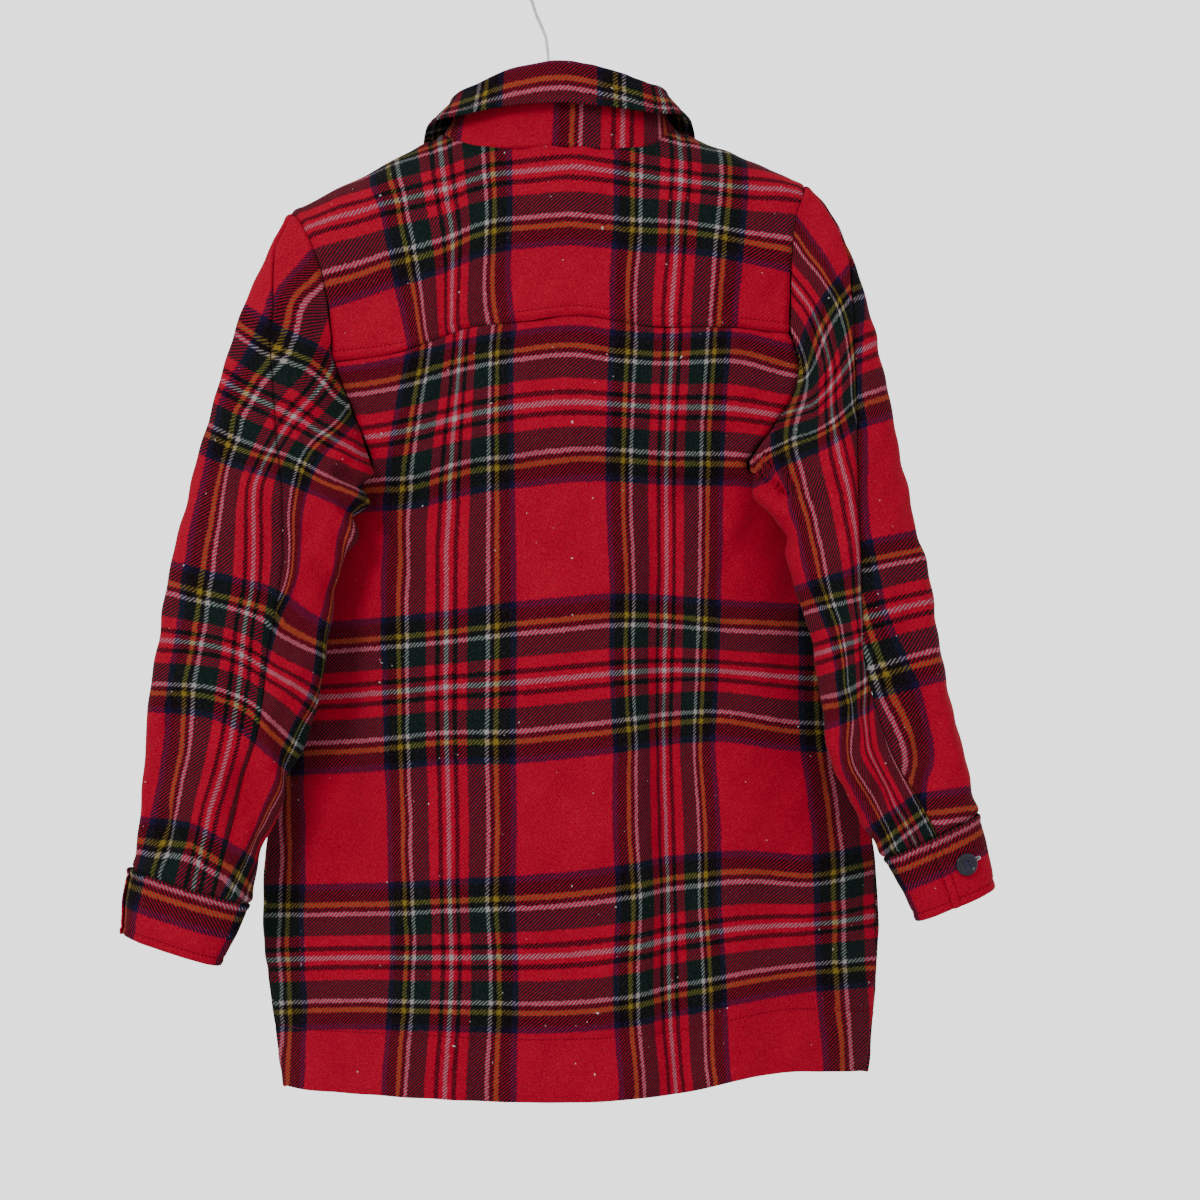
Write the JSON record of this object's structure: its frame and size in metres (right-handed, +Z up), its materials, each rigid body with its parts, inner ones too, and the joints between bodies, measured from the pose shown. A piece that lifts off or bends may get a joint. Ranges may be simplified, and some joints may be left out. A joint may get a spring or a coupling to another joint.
{
  "type": "mackinaw jacket on a wire hanger",
  "caption": "Tartan wool mackinaw jacket with a back yoke, shirt collar and buttoned cuffs, hung on a wire hanger.",
  "frame": {"origin": "inner top of the hanger's hook, where it rests on the rail", "axes": "+Z up, +Y towards the back of the jacket, +X towards the wearer's left"},
  "size_m": [0.7029, 0.1412, 0.9406],
  "materials": {
    "wool": "brushed twill",
    "button_resin": "gloss",
    "hanger_steel": "satin"
  },
  "bodies": {
    "root": {"back": "wool", "yoke": "wool", "left_front": "wool", "right_front": "wool", "collar_stand": "wool", "collar_leaf": "wool", "left_sleeve_upper": "wool", "left_sleeve_under": "wool", "right_sleeve_upper": "wool", "right_sleeve_under": "wool", "left_cuff": "wool", "right_cuff": "wool", "front_button_1": "button_resin", "front_button_2": "button_resin", "front_button_3": "button_resin", "front_button_4": "button_resin", "front_button_5": "button_resin", "left_cuff_button": "button_resin", "right_cuff_button": "button_resin", "hanger": "hanger_steel"}
  },
  "joints": []
}
